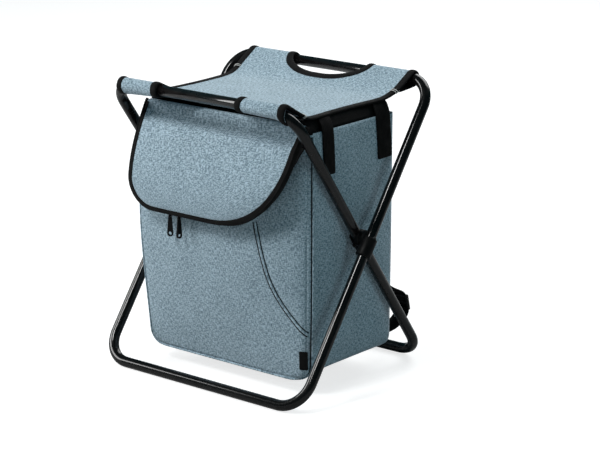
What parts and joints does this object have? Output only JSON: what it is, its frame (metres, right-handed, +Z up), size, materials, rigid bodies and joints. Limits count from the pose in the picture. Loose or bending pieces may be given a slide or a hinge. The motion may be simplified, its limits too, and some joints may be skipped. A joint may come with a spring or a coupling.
{
  "type": "folding cooler stool",
  "caption": "Stool with crossed folding tube frames, a cloth seat sleeved over their top bars and a padded cooler bag with a zipped lid hanging between the legs.",
  "frame": {"origin": "on the floor, under the middle of the open stool", "axes": "+Z up, the lid and front panel face -Y, +X to the right seen from the front"},
  "size_m": [0.3826, 0.3144, 0.4218],
  "materials": {
    "black_tube": "gloss black powder coat on round steel tube",
    "black_rivet": "blackened steel",
    "black_plastic": "moulded, satin",
    "seat_cloth": "woven melange, light blue grey",
    "bag_cloth": "woven melange, blue grey, padded",
    "black_webbing": "woven tape, matt",
    "white_foam": "closed-cell foam sheet",
    "silver_liner": "metallised film on cloth",
    "grey_zinc": "dark plated zinc"
  },
  "bodies": {
    "outer_frame": {"outer_frame_tube": "black_tube", "outer_frame_joint_plug": "black_plastic", "outer_collar_right": "black_plastic", "outer_collar_left": "black_plastic", "pivot_rivet_right": "black_rivet", "pivot_rivet_left": "black_rivet", "rear_sleeve_left": "seat_cloth", "rear_sleeve_right": "seat_cloth"},
    "inner_frame": {"inner_frame_tube": "black_tube", "inner_frame_joint_plug": "black_plastic", "inner_collar_right": "black_plastic", "inner_collar_left": "black_plastic", "front_sleeve_right": "seat_cloth", "front_sleeve_left": "seat_cloth"},
    "cooler_bag": {"seat_panel": "seat_cloth", "seat_edge_binding_right": "black_webbing", "seat_edge_binding_left": "black_webbing", "rear_notch_binding": "black_webbing", "front_notch_binding": "black_webbing", "zip_gusset": "black_webbing", "bag_front_panel": "bag_cloth", "bag_rear_panel": "bag_cloth", "bag_side_panel_right": "bag_cloth", "bag_side_panel_left": "bag_cloth", "bag_base": "bag_cloth", "bag_top_panel": "bag_cloth", "insulation_foam": "white_foam", "cooler_liner": "silver_liner", "hanging_band_right": "black_webbing", "hanging_band_left": "black_webbing", "front_hang_strap_right": "black_webbing", "front_hang_strap_left": "black_webbing", "rear_hang_strap_right": "black_webbing", "rear_hang_strap_left": "black_webbing", "front_piping": "bag_cloth", "curved_piping": "bag_cloth", "seam_tab": "black_webbing", "shoulder_pad_right": "black_webbing", "shoulder_pad_left": "black_webbing", "ladder_lock_right": "black_plastic", "ladder_lock_left": "black_plastic", "upper_webbing_right": "black_webbing", "upper_webbing_left": "black_webbing", "lower_webbing_right": "black_webbing", "lower_webbing_left": "black_webbing"},
    "lid": {"lid_panel": "bag_cloth", "lid_binding": "black_webbing"},
    "zip_slider_left": {"zip_slider_left": "grey_zinc"},
    "zip_slider_right": {"zip_slider_right": "grey_zinc"},
    "zip_pull_left": {"zip_pull_left": "black_plastic"},
    "zip_pull_right": {"zip_pull_right": "black_plastic"}
  },
  "joints": [
    {"name": "frame_fold", "type": "hinge", "parent": "outer_frame", "child": "inner_frame", "pos_m": [0, 0, 0.21388], "axis": [-1, 0, 0], "range_deg": [0, 60], "deforming": ["seat_panel", "seat_edge_binding_right", "seat_edge_binding_left", "rear_notch_binding", "front_notch_binding"]},
    {"name": "bag_swing", "type": "hinge", "parent": "outer_frame", "child": "cooler_bag", "pos_m": [0, 0, 0.21388], "axis": [-1, 0, 0], "range_deg": [0, 30], "deforming": ["seat_panel", "seat_edge_binding_right", "seat_edge_binding_left", "rear_notch_binding", "front_notch_binding"]},
    {"name": "lid_hinge", "type": "hinge", "parent": "cooler_bag", "child": "lid", "pos_m": [0, -0.09, 0.384], "axis": [-1, 0, 0], "range_deg": [0, 60]},
    {"name": "zip_slider_left_slide", "type": "slide", "parent": "cooler_bag", "child": "zip_slider_left", "axis": [-1, 0, 0], "range_m": [0, 0.02]},
    {"name": "zip_slider_right_slide", "type": "slide", "parent": "cooler_bag", "child": "zip_slider_right", "axis": [1, 0, 0], "range_m": [0, 0.03]},
    {"name": "zip_pull_left_swing", "type": "hinge", "parent": "zip_slider_left", "child": "zip_pull_left", "pos_m": [-0.071, -0.12765, 0.23065], "axis": [-1, 0, 0], "range_deg": [0, 60]},
    {"name": "zip_pull_right_swing", "type": "hinge", "parent": "zip_slider_right", "child": "zip_pull_right", "pos_m": [-0.053, -0.12895, 0.23095], "axis": [-1, 0, 0], "range_deg": [0, 60]}
  ],
  "couplings": [
    {"joint": "bag_swing", "follows": "frame_fold", "ratio": 0.5}
  ]
}
